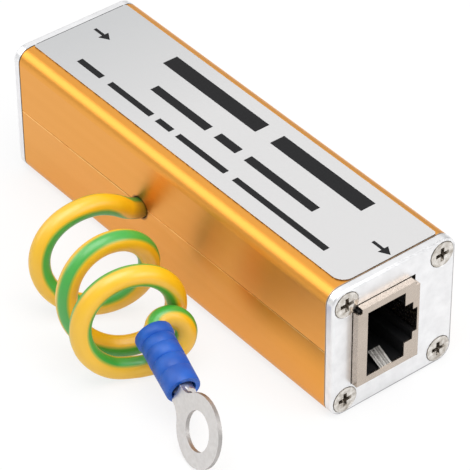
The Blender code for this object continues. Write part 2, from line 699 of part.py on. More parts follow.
def make_diodes(group, material):
    """A column of clamping diodes, each a moulded body on two folded feet."""
    half, body_half = DIODE_LENGTH / 2, DIODE_LENGTH / 2 - 0.5
    wide = DIODE_WIDTH / 2
    face = BOARD_FACE - PART_SEAT
    body = make_block("diode_blank", (-body_half, -DIODE_HEIGHT, -wide), (body_half, -0.15, wide), group)
    feet = []
    rise = DIODE_HEIGHT * 0.6
    strip = DIODE_STRIP
    for side in (-1, 1):
        outline = [(half, 0), (half - 1.2, 0), (half - 1.2, -strip), (half - strip, -strip),
                   (half - strip, strip - rise), (half - 0.9, strip - rise), (half - 0.9, -rise), (half, -rise)]
        feet.append(make_flat("foot", [[(side * x, y) for x, y in outline]], 2 * DIODE_FOOT, group))
    for foot in feet:
        combine(body, foot, "UNION")
    mesh = baked(body, *feet)
    for number in range(DIODE_COUNT):
        z = BODY_HEIGHT / 2 + (number - (DIODE_COUNT - 1) / 2) * DIODE_PITCH
        make_object(f"clamping_diode_{number + 1}", mesh, group, material, (DIODE_COLUMN, face, z))


def between(values, share):
    """Return the smooth value at a share of the way along evenly spaced values."""
    place = share * (len(values) - 1)
    number = min(int(place), len(values) - 2)
    part = place - number
    ends = (2 * values[0] - values[1], *values, 2 * values[-1] - values[-2])
    a, b, c, d = ends[number:number + 4]
    return b + part * (c - a + part * (2 * a - 5 * b + 4 * c - d + part * (3 * (b - c) + d - a))) / 2


def coil_point(turns):
    """Return the lead's centre after some turns of the coil, which rests on the table."""
    share = turns / COIL_TURNS
    heading = math.radians(COIL_HEADING)
    ahead = Vector((math.cos(heading), math.sin(heading), 0))
    aside = Vector((math.sin(heading), -math.cos(heading), 0))
    angle = math.radians(COIL_PHASE) + math.tau * turns
    sideways = between(COIL_HALF_WIDTH, share) * math.sin(angle) + between(COIL_SIDESTEP, share)
    height = between(COIL_HALF_HEIGHT, share) * (1 + math.cos(angle)) + LEAD_RADIUS + TABLE_GAP
    return (Vector((*COIL_START, height)) + ahead * between(COIL_ADVANCE, share) + aside * sideways)


def refined(points):
    """Return the points of a bend with a smooth halfway point between each two neighbours."""
    ends = [points[0] * 2 - points[1], *points, points[-1] * 2 - points[-2]]
    route = []
    for a, b, c, d in zip(ends, ends[1:], ends[2:], ends[3:]):
        route += [b, ((b + c) * 9 - a - d) / 16]
    return route + [points[-1]]


def terminal_frame():
    """Return the terminal's place: the ring's centre, its axis along X and its face along Z."""
    turn = (Matrix.Rotation(math.radians(TERMINAL_HEADING), 4, "Z")
            @ Matrix.Rotation(math.radians(TERMINAL_SLOPE), 4, "Y")
            @ Matrix.Rotation(math.radians(TERMINAL_ROLL), 4, "X"))
    upright = turn.col[2].z
    height = RING_RADIUS * math.sqrt(1 - upright ** 2) + STRIP_HALF * abs(upright) + TABLE_GAP
    return Matrix.Translation(Vector((*RING_PLACE, height))) @ turn


def lead_route(frame):
    """Return the lead's route from the board, out at the seam, round its turns, into the sleeve."""
    straight = [Vector((LEAD_EXIT, y, LEAD_HEIGHT)) for y in (LEAD_INNER_END, -HALF_WIDTH)]
    straight += [Vector(point) for point in FIRST_POINTS]
    last = round(COIL_TURNS * POINTS_PER_TURN)
    coil = [coil_point(COIL_TURNS * number / last) for number in range(2, last + 1)]
    rim, seat = (frame @ Vector((-reach, 0, -BARREL_OFFSET)) for reach in (SLEEVE_END - 0.5, LEAD_END))
    hook = [coil[-1], *(Vector(point) for point in HOOK_POINTS), rim]
    return straight + coil[:-1] + refined(hook) + [seat]


def make_lead(group, frame, plastic, copper):
    """The insulated lead, and its bare conductor at the board and in the terminal."""
    lead = make_wire("earth_lead", lead_route(frame), LEAD_RADIUS, group, 2)
    lead.data.materials.append(plastic)
    start = LEAD_INNER_END + CONDUCTOR_GAP
    inner = make_rod("earth_conductor_inner", CONDUCTOR_RADIUS, CONDUCTOR_RADIUS,
                     (LEAD_EXIT, start, LEAD_HEIGHT), (LEAD_EXIT, BOARD_BACK + PIN_LENGTH, LEAD_HEIGHT),
                     "Y", group, 12)
    outer = make_rod("earth_conductor_outer", CONDUCTOR_RADIUS, CONDUCTOR_RADIUS,
                     (-LEAD_END + CONDUCTOR_GAP, 0, -BARREL_OFFSET),
                     (-BARREL_START - CONDUCTOR_GAP, 0, -BARREL_OFFSET), "X", group, 12)
    outer.matrix_world = metric(frame)
    for item in (inner, outer):
        item.data.materials.append(copper)
        shade(item)


def metric(frame):
    """Return a placement in millimetres as one in metres."""
    placed = frame.copy()
    placed.translation = frame.translation * MM
    return placed


def make_sleeve(group, frame, material):
    """The insulating sleeve, flared where the lead goes in and stepped to grip the barrel."""
    grip = BARREL_RADIUS + SLEEVE_GAP
    bore = LEAD_RADIUS + 1.5 * SLEEVE_GAP
    rim = SLEEVE_END - SLEEVE_RIM_LENGTH
    crease = rim - SLEEVE_CREASE_WIDTH
    crimp = SLEEVE_CRIMP_PLACE
    half = SLEEVE_CREASE_WIDTH / 2
    profile = [(SLEEVE_RIM_RADIUS, SLEEVE_END), (SLEEVE_RIM_RADIUS, rim),
               (SLEEVE_RADIUS - SLEEVE_CREASE_DEPTH, rim - half), (SLEEVE_RADIUS, crease),
               (SLEEVE_RADIUS, crimp + half), (SLEEVE_RADIUS - SLEEVE_CRIMP_DEPTH, crimp),
               (SLEEVE_RADIUS, crimp - half), (SLEEVE_RADIUS, SLEEVE_START + 0.3),
               (SLEEVE_RADIUS - 0.15, SLEEVE_START), (grip, SLEEVE_START), (grip, BARREL_END + 0.3),
               (bore, LEAD_END - 0.1), (bore, rim), (SLEEVE_RIM_RADIUS - 0.3, SLEEVE_END)]
    mesh = baked(make_turned("sleeve_blank", profile, 20, group, closed=True))
    sleeve = make_object("terminal_sleeve", mesh, group, material)
    offset = Matrix.Translation(Vector((0, 0, -BARREL_OFFSET)) * MM)
    sleeve.matrix_world = metric(frame) @ offset @ Matrix.Rotation(-math.pi / 2, 4, "Y")
    shade(sleeve)


def ring_outline():
    """Return the flat outline of the ring and its filleted neck."""
    reach = RING_RADIUS + NECK_FILLET
    lift = NECK_HALF_WIDTH + NECK_FILLET
    along = math.sqrt(reach ** 2 - lift ** 2)
    lean = math.degrees(math.atan2(lift, along))
    ring = arc((0, 0), RING_RADIUS, -180 + lean, 180 - lean, 30)
    upper = arc((-along, lift), NECK_FILLET, -lean, -90, 4)
    neck = [(-NECK_END, NECK_HALF_WIDTH), (-NECK_END, -NECK_HALF_WIDTH)]
    lower = [(x, -y) for x, y in reversed(upper)]
    return ring + upper[1:] + neck + lower[:-1]


def make_ring_terminal(group, frame, material):
    """The stamped terminal: a flat ring on a neck that rolls up into a split barrel."""
    flat = make_flat("ring_blank", [ring_outline(), circle((0, 0), RING_HOLE_RADIUS, 28)],
                     STRIP_THICKNESS, group)
    bore = BARREL_RADIUS - STRIP_THICKNESS
    gap = math.degrees(BARREL_SEAM / 2 / BARREL_RADIUS)
    section = arc((0, 0), BARREL_RADIUS, -90 + gap, 270 - gap, 16)
    section += arc((0, 0), bore, 270 - 2 * gap, -90 + 2 * gap, 16)
    barrel = make_flat("barrel_blank", [section], BARREL_END - BARREL_START, group)
    barrel.rotation_euler = (math.pi / 2, 0, math.pi / 2)
    barrel.location = Vector((-(BARREL_START + BARREL_END) / 2, 0, -BARREL_OFFSET)) * MM
    combine(flat, barrel, "UNION")
    item = make_object("ring_terminal", baked(flat, barrel), group, material)
    item.matrix_world = metric(frame)
    shade(item)


def main():
    """Build every piece."""
    clear_scene()
    group = make_collection("ethernet_surge_protector")
    cutters = make_collection("cutters")
    gold = make_material("gold_anodised_aluminium", (0.74, 0.31, 0.07), 0.38, 1.0)
    bare = make_material("satin_aluminium", (0.86, 0.86, 0.88), 0.4, 1.0)
    nickel = make_material("nickel_plate", (0.62, 0.57, 0.52), 0.25, 1.0)
    label = make_material("silver_label", (0.73, 0.73, 0.74), 0.4)
    board = make_material("circuit_board_green", (0.02, 0.16, 0.06), 0.5)
    black = make_material("black_plastic", (0.01, 0.01, 0.01), 0.5)
    contact = make_material("contact_gold", (0.83, 0.6, 0.2), 0.25, 1.0)
    ceramic = make_material("tube_ceramic", (0.75, 0.72, 0.68), 0.4)
    insulation = make_material("lead_insulation", (0.95, 0.55, 0.03), 0.4)
    copper = make_material("copper", (0.75, 0.33, 0.18), 0.3, 1.0)
    blue = make_material("blue_sleeve", (0.02, 0.12, 0.6), 0.45)
    make_housing(group, cutters, gold)
    for end, (turn, _) in COPIES.items():
        make_end_plate(f"end_plate_{end}", group, bare, turn)
    make_screws(group, nickel)
    make_label(group, label)
    make_board(group, board)
    make_jacks(group, nickel, black, contact)
    make_gas_tubes(group, ceramic)
    make_diodes(group, black)
    frame = terminal_frame()
    make_lead(group, frame, insulation, copper)
    make_sleeve(group, frame, blue)
    make_ring_terminal(group, frame, nickel)
    bpy.context.view_layer.update()


main()
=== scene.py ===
"""Looks of the ethernet surge protector: its finishes, label, striped earth lead, studio and camera.

The frame is the part's own: X along the body towards the outgoing socket, the earth lead on the -Y
side, Z up from the table. Named sizes and places are in millimetres and angles in degrees, unless
their comment says otherwise.
"""

import math

import bmesh
import bpy
from mathutils import Matrix, Vector
from mathutils.kdtree import KDTree


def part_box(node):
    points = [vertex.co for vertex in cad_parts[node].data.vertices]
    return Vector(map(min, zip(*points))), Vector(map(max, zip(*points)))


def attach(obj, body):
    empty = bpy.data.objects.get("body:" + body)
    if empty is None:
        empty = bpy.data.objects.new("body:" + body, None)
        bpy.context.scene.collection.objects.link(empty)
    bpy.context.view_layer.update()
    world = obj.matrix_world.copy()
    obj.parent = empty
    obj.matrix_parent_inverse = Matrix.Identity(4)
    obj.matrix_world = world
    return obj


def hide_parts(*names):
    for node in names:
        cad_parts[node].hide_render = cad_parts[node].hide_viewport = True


MM = 0.001

# Camera: direction from the body to the lens, distance and framing
CAMERA_HEADING = 51.756
CAMERA_HEIGHT = 39.026
CAMERA_ROLL = -0.478
CAMERA_DISTANCE = 495.625
CAMERA_OFFSET = (1.384, 3.528)
CAMERA_LENS = 226.81
CAMERA_SENSOR = 36.0
CAMERA_NEAR = 10.0

# Copies of the solids: distance at which points are one, in metres, angle under which faces are one
# flat face, and angle over which an edge is sharp, on flat and on round pieces
WELD = 2e-6
FLAT_ANGLE = 0.6
SHARP_ANGLE = 35
ROUND_SHARP_ANGLE = 50

# Rounding of the cut edges
LOWER_EDGE = 0.15
UPPER_EDGE = 0.04
PLATE_EDGE = 0.2
SHELL_EDGE = 0.08
SCREW_EDGE = 0.1
TERMINAL_EDGE = 0.04

# Painted highlight on the lip of the gold body under its seam: height of the seam, how far under it the
# highlight starts and is full, how far over it the highlight stops, and the least and most of it along the
# lip
SEAM_HEIGHT = 12.9
LIP_START = 0.22
LIP_FULL = 0.14
LIP_STOP = 0.04
LIP_HIGHLIGHT_RANGE = (0.25, 1.0)
LIP_HIGHLIGHT_COLOUR = (1.0, 0.62, 0.2)

# Painted shade at the sawn ends of the gold body, in its joints with the plates: their reach from the
# middle, and how far in from there the shade starts to show and shows in full, with its amount and colour
EXTRUSION_END = 40.38
END_SHADE_START = 0.2
END_SHADE_FULL = 0.08
INCOMING_SHADE = 0.85
INCOMING_SHADE_COLOUR = (0.10, 0.06, 0.03)
OUTGOING_SHADE = 0.7
OUTGOING_SHADE_COLOUR = (0.42, 0.38, 0.33)

# Painted shade round the rim of the lead's hole: distance from the hole's middle at which it starts and ends
# to fade
HOLE_RIM = (2.0, 2.4)
HOLE_SHADE = 0.85
HOLE_SHADE_COLOUR = (0.05, 0.02, 0.005)

# Painted shade on the rounded edges of the plates: the side on which it lies, how squarely a face looks that
# way and along X where it starts and is full, and its share on a face that looks sideways
EDGE_SHADE_SIDE = (0.0, 0.6, -0.8)
EDGE_SHADE_FACING = (0.03, 0.25)
EDGE_SHADE_AMOUNT = 0.95
EDGE_SHADE_ROUNDING = (0.1, 0.4)
EDGE_SHADE_SIDEWAYS = 0.12
EDGE_SHADE_COLOUR = (0.32, 0.32, 0.33)

# Screw heads, whose recess and chamfer take painted shade: depths below the head between which the
# recess lies, its reach from the axis and that of the chamfer
RECESS_RIM = 0.03
RECESS_FLOOR = 0.95
RECESS_REACH = 1.4
CHAMFER_REACH = 2.25

# Faces told by how squarely they look along an axis: a cut edge along its sheet's upright, and the
# sloping spring of a socket along X and along Z
CUT_EDGE_FACING = 0.5
SPRING_FACING_X = (0.3, 0.6)
SPRING_FACING_Z = 0.8

# Label: stretch over which its film turns from the darker, painted-shade colour to the lighter, rows of
# printed bars, each with its place across, its height and its bars' ends, middles of the arrows, an arrow's
# shaft and head along it, and the line of painted shade along the incoming end
FILM_SHADE_CHANGE = (-38.0, -6.0)
FILM_SHADE_COLOURS = ((0.485, 0.49, 0.495), (0.595, 0.59, 0.59))
BAR_ROWS = (
    (5.9, 3.0, ((-22.4, 2.2), (6.0, 28.7))),
    (-0.9, 1.7, ((-17.8, -3.2), (-0.9, 4.6), (6.9, 24.0))),
    (-5.9, 1.2, ((-31.9, -25.6), (-23.4, -12.0), (-10.4, -6.6), (-5.0, 7.6), (9.8, 32.6))),
)
ARROWS = ((-35.6, 1.5), (37.6, 0.9))
ARROW_SHAFT = (-2.0, 0.4)
ARROW_SHAFT_WIDTH = 0.6
ARROW_HEAD_PLACE = 1.0
ARROW_HEAD_RADIUS = 1.24
INK_THICKNESS = 0.02
END_SHADE_LINE_WIDTH = 0.12
END_SHADE_LINE_MARGIN = 1.2

# Earth lead, on the route of its solid: its tube, the hole that it leaves by, the straight stretch
# inside and the bend outside, the coil, and the hook over it into the sleeve
LEAD_RADIUS = 1.8
LEAD_ROUNDNESS = 8
LEAD_EXIT = (-7.1, -12.5, 12.3)
LEAD_INNER_END = 2.0
STRAIGHT_POINTS = 6
FIRST_POINTS = ((-7.3, -15.0, 13.3), (-7.5, -17.1, 14.8))
TABLE_GAP = 0.05
COIL_TURNS = 2.66
COIL_START = (-10.3, -21.0)
COIL_HEADING = -19.3
COIL_PHASE = -55.5
COIL_HALF_WIDTH = (8.3, 8.4, 8.5, 8.2, 8.0, 8.2)
COIL_HALF_HEIGHT = (6.8, 8.3, 8.7, 8.4, 8.3, 9.4)
COIL_ADVANCE = (0.0, 7.6, 14.5, 20.4, 23.6, 26.2)
COIL_SIDESTEP = (-0.5, 1.8, 1.6, 0.1, 0.3, 1.0)
POINTS_PER_TURN = 16
FIRST_COIL_POINT = 2
HOOK_POINTS = (
    (16.2, -26.6, 2.4),
    (17.4, -22.8, 5.0),
    (17.4, -22.0, 7.8),
    (16.7, -22.9, 9.8),
    (16.0, -24.6, 10.6),
    (16.0, -26.6, 10.4),
)
HOOK_INSET = 0.5
ROUTE_REFINEMENTS = 3
ROUTE_WELD = 1e-7

# Turn of the lead's green stripes about it at shares of its length, how squarely a point faces a
# stripe's middle where the green starts and is full, and distance from the lead's hole at which its
# painted shade starts and ends
STRIPE_TURNS = (
    (0.0, 0.0), (0.085, 8.0), (0.12, 55.0), (0.19, 80.0), (0.32, 78.0), (0.42, 63.0), (0.5, 57.0),
    (0.575, 34.0), (0.67, 3.0), (0.8, 2.0), (0.86, -8.0), (0.92, -28.0), (0.95, -28.0), (1.0, -55.0),
)
STRIPE_EDGE = (0.75, 0.92)
YELLOW = (0.93, 0.53, 0.004)
GREEN = (0.045, 0.41, 0.045)
EXIT_REACH = (1.8, 3.2)
EXIT_SHADE = 0.7
EXIT_SHADE_COLOUR = (0.05, 0.03, 0.008)

# Ring terminal, in its own frame: the ring's centre, the lead along -X, the ring's face along Z
RING_PLACE = (36.05, -33.95)
TERMINAL_HEADING = -13.1
TERMINAL_SLOPE = 12.1
TERMINAL_ROLL = 72.0
RING_RADIUS = 6.0
STRIP_HALF = 0.35
BARREL_OFFSET = 1.3
BARREL_START = 7.2
BARREL_END = 14.6
LEAD_END = 15.2

# Strands in the barrel: their rings, each with its radius, its number of strands and its first angle,
# a strand's radius, and how far in from the barrel's start the strands end, at least and by turns
STRAND_RINGS = ((0.0, 1, 0), (0.34, 6, 0), (0.67, 12, 15))
STRAND_RADIUS = 0.16
STRAND_INSET = 0.2
STRAND_STAGGER = 0.05

# Sleeve: its ends, then reach from the ring and radius at each point of its outline: the rim and a groove
# at the lead's end, a shallow, a deep and a shallow crease, the ring's end, and back along the bore
SLEEVE_START = 8.3
SLEEVE_END = 20.1
SLEEVE_PROFILE = (
    (SLEEVE_END, 3.1), (19.9, 3.18), (18.9, 3.16), (18.6, 3.08), (18.3, 2.72), (18.0, 2.92), (16.6, 2.92),
    (16.45, 2.84), (16.3, 2.92), (14.4, 2.95), (14.1, 2.68), (13.8, 2.95), (11.6, 2.92), (11.45, 2.84),
    (11.3, 2.92), (9.0, 2.9), (8.5, 2.88), (SLEEVE_START, 2.8), (SLEEVE_START, 2.05), (14.8, 2.05),
    (15.1, 2.2), (18.7, 2.2), (SLEEVE_END, 2.85),
)
SLEEVE_STEPS = 48

# Metals: darker and lighter colour, range of roughness, scale of the drawn lines along X, Y and Z and
# of the grit, per metre, and depth of the grit
METALS = {
    "gold_anodised": ((0.79, 0.35, 0.06), (0.81, 0.365, 0.068), (0.34, 0.4), (8, 500, 500), 9000, 0.002),
    "plate_aluminium": ((0.80, 0.80, 0.81), (0.89, 0.89, 0.90), (0.3, 0.44), (700, 500, 500), 2500, 0.004),
    "nickel": ((0.47, 0.405, 0.345), (0.55, 0.475, 0.41), (0.24, 0.3), (150, 150, 150), 1500, 0.0002),
    "drawn_spring": ((0.20, 0.185, 0.17), (0.86, 0.84, 0.80), (0.24, 0.34), (60, 4200, 60), 1500, 0.0002),
    "screw_nickel": ((0.42, 0.38, 0.33), (0.84, 0.81, 0.77), (0.16, 0.3), (1100, 1100, 1100), 3000, 0.002),
    "painted_shade_and_glints": ((0.02, 0.014, 0.01), (0.46, 0.41, 0.35), (0.25, 0.4), (2600, 2600, 2600), 3000, 0.001),
    # Painted shade for recesses and cut edges, with painted glints where its noise is light
    "tinned_copper": ((0.61, 0.59, 0.575), (0.68, 0.66, 0.65), (0.28, 0.38), (1500, 1500, 1500), 2500, 0.004),
    "cut_tin": ((0.36, 0.345, 0.335), (0.5, 0.48, 0.47), (0.4, 0.5), (500, 500, 500), 2500, 0.004),
    "contact_gold": ((0.80, 0.55, 0.18), (0.88, 0.66, 0.26), (0.2, 0.3), (500, 500, 500), 5000, 0.001),
    "bare_copper": ((0.70, 0.28, 0.14), (0.86, 0.45, 0.28), (0.25, 0.35), (900, 900, 900), 5000, 0.001),
}

# Plastics and ceramics: colour and the colour that it changes to in clouds, range of roughness, scale of
# the grit per metre, and depth of the grit
PLASTICS = {
    "label_ink": ((0.012, 0.012, 0.013), None, (0.55, 0.68), 3000, 0.001),
    "black_moulding": ((0.008, 0.008, 0.009), None, (0.4, 0.53), 2500, 0.005),
    "board_laminate": ((0.02, 0.14, 0.05), (0.03, 0.2, 0.07), (0.4, 0.53), 900, 0.01),
    "tube_ceramic": ((0.75, 0.72, 0.68), (0.8, 0.78, 0.74), (0.35, 0.48), 1200, 0.005),
    "blue_vinyl": ((0.003, 0.08, 0.44), (0.006, 0.11, 0.54), (0.41, 0.54), 900, 0.02),
}

# Noise patterns: values between which they are spread out, and scale along each axis per metre
NOISE_RANGE = (0.3, 0.7)
CLOUD_RANGE = (0.35, 0.65)
CLOUD_SCALE = (300, 300, 300)
HIGHLIGHT_NOISE_RANGE = (0.35, 0.6)
HIGHLIGHT_NOISE_SCALE = (350, 350, 350)

# Studio: strength of the light from all round, and share of the floor's white that no shadow darkens,
# each for surfaces, for reflections and for the camera; then the soft boxes' place and size, their aim
# and the floor's half width in metres, their power in watts and whether they only show in reflections
AMBIENT = (0.45, 0.62, 1.0)
FLOOR_GLOW = (0.15, 0.5, 0.8)
FLOOR_COLOUR = (0.92, 0.92, 0.92)
FLOOR_HALF = 3.0
LAMP_AIM = (0, 0, 0.01)
LAMPS = {
    "soft_box_top": ((0.1, -0.05, 0.8), 0.7, 5.2, False),
    "soft_box_front": ((-0.52, -0.4, 0.58), 0.65, 2.4, True),
    "soft_box_side": ((0.6, 0.3, 0.4), 0.4, 1.4, False),
    "soft_box_back": ((-0.55, 0.43, 0.57), 0.5, 0.35, False),
}


def piece_from(name, mesh, material, slot, *replaced):
    """Add a finished mesh to the scene on the body and hide the nodes that it stands for; its slot is not
    used.
    """
    item = bpy.data.objects.new(name, mesh)
    bpy.context.scene.collection.objects.link(item)
    mesh.materials.append(material)
    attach(item, "root")
    if replaced:
        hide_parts(*replaced)
    return item


def mesh_from(name, bm, angle=SHARP_ANGLE):
    """Turn a bmesh into a mesh, smooth except at its sharp edges."""
    mesh = bpy.data.meshes.new(name)
    bm.to_mesh(mesh)
    bm.free()
    mesh.shade_smooth()
    mesh.set_sharp_from_angle(angle=math.radians(angle))
    return mesh


def merged_copy(node):
    """Return a welded copy of a node's mesh with its flat faces joined up."""
    bm = bmesh.new()
    bm.from_mesh(bpy.data.objects[node].data)
    bmesh.ops.remove_doubles(bm, verts=bm.verts, dist=WELD)
    bmesh.ops.dissolve_limit(bm, angle_limit=math.radians(FLAT_ANGLE), verts=bm.verts, edges=bm.edges)
    return bm


def refined_node(node, material, slot, edge=0.0):
    """Replace a node by a smooth-shaded copy whose sharp edges are rounded a little."""
    mesh = mesh_from(f"{node}_finish", merged_copy(node))
    item = piece_from(f"{node}_finish", mesh, material, slot, node)
    if edge:
        bevel = item.modifiers.new("edge", "BEVEL")
        bevel.width = edge * MM
        bevel.segments = 2
        bevel.limit_method = "ANGLE"
        bevel.angle_limit = math.radians(SHARP_ANGLE)
        bevel.harden_normals = True
        bevel.use_clamp_overlap = True
    return item


def assign(item, material):
    """Give a material to a node whose shape stays as it is."""
    for slot in item.material_slots:
        slot.material = material
    if not item.material_slots:
        item.data.materials.append(material)


def shade_faces(item, material, chosen):
    """Give a second material to the faces that a test chooses."""
    item.data.materials.append(material)
    for face in item.data.polygons:
        if chosen(face):
            face.material_index = 1


def in_shade(node):
    """Return a test for the faces of a screw head's recess and chamfer, which take painted shade."""
    low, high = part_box(node)
    top = high[0] if high[0] > 0 else low[0]
    centre = Vector((top, (low[1] + high[1]) / 2, (low[2] + high[2]) / 2))

    def chosen(face):
        away = face.center - centre
        deep = RECESS_RIM * MM < abs(away.x) < RECESS_FLOOR * MM
        return deep and (away.yz.length < RECESS_REACH * MM or away.yz.length > CHAMFER_REACH * MM)

    return chosen


def on_ring_edge(face):
    """Test whether a face is on the cut edge of the terminal's flat strip."""
    basis = terminal_frame()
    reach = -(basis.inverted() @ face.center).x
    return abs(face.normal.dot(basis.col[2].xyz)) < CUT_EDGE_FACING and reach < BARREL_START * MM


def on_spring(face):
    """Test whether a face is on the sloping side of a socket's spring."""
    sloping = SPRING_FACING_X[0] < abs(face.normal.x) < SPRING_FACING_X[1]
    return sloping and abs(face.normal.z) > SPRING_FACING_Z


def on_label_edge(face):
    """Test whether a face is on the cut edge of the label, which takes painted shade."""
    return abs(face.normal.z) < CUT_EDGE_FACING


def new_material(name, colour, metallic=0.0):
    """Return a material with its node tree and its surface shader."""
    material = bpy.data.materials.new(name)
    material.use_nodes = True
    tree = material.node_tree
    surface = tree.nodes["Principled BSDF"]
    surface.inputs["Base Color"].default_value = (*colour, 1)
    surface.inputs["Metallic"].default_value = metallic
    return material, tree, surface


def grain(tree, scale, detail=2.0):
    """Return the output of a noise pattern whose scale is given for each axis, per metre."""
    place = tree.nodes.new("ShaderNodeTexCoord")
    mapping = tree.nodes.new("ShaderNodeMapping")
    mapping.inputs["Scale"].default_value = scale
    noise = tree.nodes.new("ShaderNodeTexNoise")
    noise.inputs["Scale"].default_value = 1.0
    noise.inputs["Detail"].default_value = detail
    tree.links.new(place.outputs["Object"], mapping.inputs["Vector"])
    tree.links.new(mapping.outputs["Vector"], noise.inputs["Vector"])
    return noise.outputs["Fac"]


def axes(tree, source):
    """Return the X, Y and Z of a point's Object place or of its Normal."""
    place = tree.nodes.new("ShaderNodeTexCoord")
    parts = tree.nodes.new("ShaderNodeSeparateXYZ")
    tree.links.new(place.outputs[source], parts.inputs["Vector"])
    return parts.outputs


def compared(tree, source, operation, other):
    """Return a vector operation's value for a point's Object place or its Normal and a fixed vector."""
    place = tree.nodes.new("ShaderNodeTexCoord")
    node = tree.nodes.new("ShaderNodeVectorMath")
    node.operation = operation
    node.inputs[1].default_value = other
    tree.links.new(place.outputs[source], node.inputs[0])
    return node.outputs["Value"]


def from_exit(tree):
    """Return how far a point lies from the middle of the lead's hole, in metres."""
    return compared(tree, "Object", "DISTANCE", Vector(LEAD_EXIT) * MM)


def size_of(tree, value):
    """Return a value without its sign."""
    node = tree.nodes.new("ShaderNodeMath")
    node.operation = "ABSOLUTE"
    tree.links.new(value, node.inputs[0])
    return node.outputs["Value"]


def product(tree, first, second):
    """Return two values multiplied."""
    node = tree.nodes.new("ShaderNodeMath")
    node.operation = "MULTIPLY"
    tree.links.new(first, node.inputs[0])
    tree.links.new(second, node.inputs[1])
    return node.outputs["Value"]


def remapped(tree, value, low, high, to_low, to_high):
    """Return a value moved from one range to another."""
    node = tree.nodes.new("ShaderNodeMapRange")
    node.inputs["From Min"].default_value = low
    node.inputs["From Max"].default_value = high
    node.inputs["To Min"].default_value = to_low
    node.inputs["To Max"].default_value = to_high
    tree.links.new(value, node.inputs["Value"])
    return node.outputs["Result"]


def blended(tree, factor, first, second):
    """Return a colour that goes from the first to the second with a factor."""
    node = tree.nodes.new("ShaderNodeMix")
    node.data_type = "RGBA"
    tree.links.new(factor, node.inputs["Factor"])
    for socket, colour in (("A", first), ("B", second)):
        target = next(i for i in node.inputs if i.name == socket and i.type == "RGBA")
        if isinstance(colour, tuple):
            target.default_value = (*colour, 1)
        else:
            tree.links.new(colour, target)
    return next(o for o in node.outputs if o.type == "RGBA")


def gritty(tree, surface, scale, roughness, depth, detail=2.0):
    """Give a surface a grit of some scale per metre, range of roughness and depth in millimetres."""
    speck = grain(tree, (scale, scale, scale), detail)
    tree.links.new(remapped(tree, speck, *NOISE_RANGE, *roughness), surface.inputs["Roughness"])
    bump = tree.nodes.new("ShaderNodeBump")
    bump.inputs["Strength"].default_value = 1.0
    bump.inputs["Distance"].default_value = depth * MM
    tree.links.new(speck, bump.inputs["Height"])
    tree.links.new(bump.outputs["Normal"], surface.inputs["Normal"])


def metal(name):
    """A metal with drawn lines along one axis and a fine grit."""
    dark, light, roughness, lines, grit, depth = METALS[name]
    material, tree, surface = new_material(name, light, 1.0)
    streak = remapped(tree, grain(tree, lines, 3.0), *NOISE_RANGE, 0.0, 1.0)
    tree.links.new(blended(tree, streak, dark, light), surface.inputs["Base Color"])
    gritty(tree, surface, grit, roughness, depth)
    return material


def gold_anodised():
    """Gold anodised aluminium, with painted shade at its sawn ends and round the hole, and a painted
    highlight along the seam.
    """
    material = metal("gold_anodised")
    tree = material.node_tree
    base = tree.nodes["Principled BSDF"].inputs["Base Color"]
    parts = axes(tree, "Object")
    seam = SEAM_HEIGHT * MM
    # Painted highlight along the lip under the seam, broken up by noise
    under = remapped(tree, parts["Z"], seam - LIP_START * MM, seam - LIP_FULL * MM, 0.0, 1.0)
    over = remapped(tree, parts["Z"], seam, seam + LIP_STOP * MM, 1.0, 0.0)
    highlight_spread = remapped(tree, grain(tree, HIGHLIGHT_NOISE_SCALE), *HIGHLIGHT_NOISE_RANGE, *LIP_HIGHLIGHT_RANGE)
    lip_highlight = product(tree, product(tree, under, over), highlight_spread)
    colour = blended(tree, lip_highlight, base.links[0].from_socket, LIP_HIGHLIGHT_COLOUR)
    # Painted shade at each sawn end, in the joint with its plate
    start = (EXTRUSION_END - END_SHADE_START) * MM
    full = (EXTRUSION_END - END_SHADE_FULL) * MM
    incoming = remapped(tree, parts["X"], -full, -start, INCOMING_SHADE, 0.0)
    colour = blended(tree, incoming, colour, INCOMING_SHADE_COLOUR)
    outgoing = remapped(tree, parts["X"], start, full, 0.0, OUTGOING_SHADE)
    colour = blended(tree, outgoing, colour, OUTGOING_SHADE_COLOUR)
    # Painted shade round the lead's hole
    rim = remapped(tree, from_exit(tree), HOLE_RIM[0] * MM, HOLE_RIM[1] * MM, HOLE_SHADE, 0.0)
    tree.links.new(blended(tree, rim, colour, HOLE_SHADE_COLOUR), base)
    return material


def plate_aluminium():
    """Pale aluminium with a brushed face, and painted shade on its rounded edges low down and on the far
    side.
    """
    material = metal("plate_aluminium")
    tree = material.node_tree
    base = tree.nodes["Principled BSDF"].inputs["Base Color"]
    # Painted shade on the rounded edges that face down and away
    facing = compared(tree, "Normal", "DOT_PRODUCT", EDGE_SHADE_SIDE)
    away = remapped(tree, facing, *EDGE_SHADE_FACING, 0.0, EDGE_SHADE_AMOUNT)
    ahead = size_of(tree, axes(tree, "Normal")["X"])
    rounded = remapped(tree, ahead, *EDGE_SHADE_ROUNDING, EDGE_SHADE_SIDEWAYS, 1.0)
    edge_shade = product(tree, away, rounded)
    tree.links.new(blended(tree, edge_shade, base.links[0].from_socket, EDGE_SHADE_COLOUR), base)
    return material


def plastic(name):
    """A moulded plastic or ceramic with a fine texture and, on some, clouds of a second colour."""
    colour, clouds, roughness, grit, depth = PLASTICS[name]
    material, tree, surface = new_material(name, colour)
    if clouds:
        cloud = remapped(tree, grain(tree, CLOUD_SCALE), *CLOUD_RANGE, 0.0, 1.0)
        tree.links.new(blended(tree, cloud, colour, clouds), surface.inputs["Base Color"])
    gritty(tree, surface, grit, roughness, depth)
    return material


def label_ink():
    """Black ink with little gloss."""
    material = plastic("label_ink")
    material.node_tree.nodes["Principled BSDF"].inputs["Specular IOR Level"].default_value = 0.15
    return material


